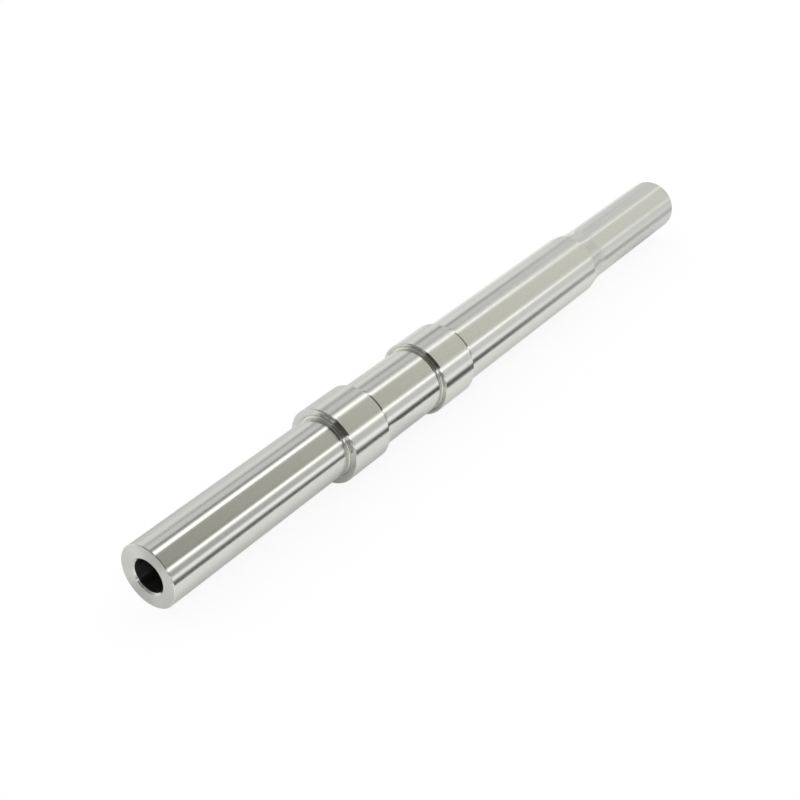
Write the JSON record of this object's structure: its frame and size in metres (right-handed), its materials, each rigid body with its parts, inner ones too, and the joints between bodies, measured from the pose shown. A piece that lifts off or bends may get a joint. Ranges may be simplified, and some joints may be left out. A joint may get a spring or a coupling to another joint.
{
  "type": "rock drill piston",
  "caption": "Hollow hammer piston of a hydraulic rock drill: a stepped, ground steel bar with raised lands, a tapered tail and a bore from end to end.",
  "frame": {"origin": "on the axis, halfway along the bar", "axes": "+X along the axis, from the front end with the countersunk ring face to the tapered rear end"},
  "size_m": [0.53, 0.048, 0.048],
  "materials": {
    "ground_steel": "ground and polished bare steel, bright, with fine rings round the axis"
  },
  "bodies": {
    "root": {"piston": "ground_steel"}
  },
  "joints": []
}
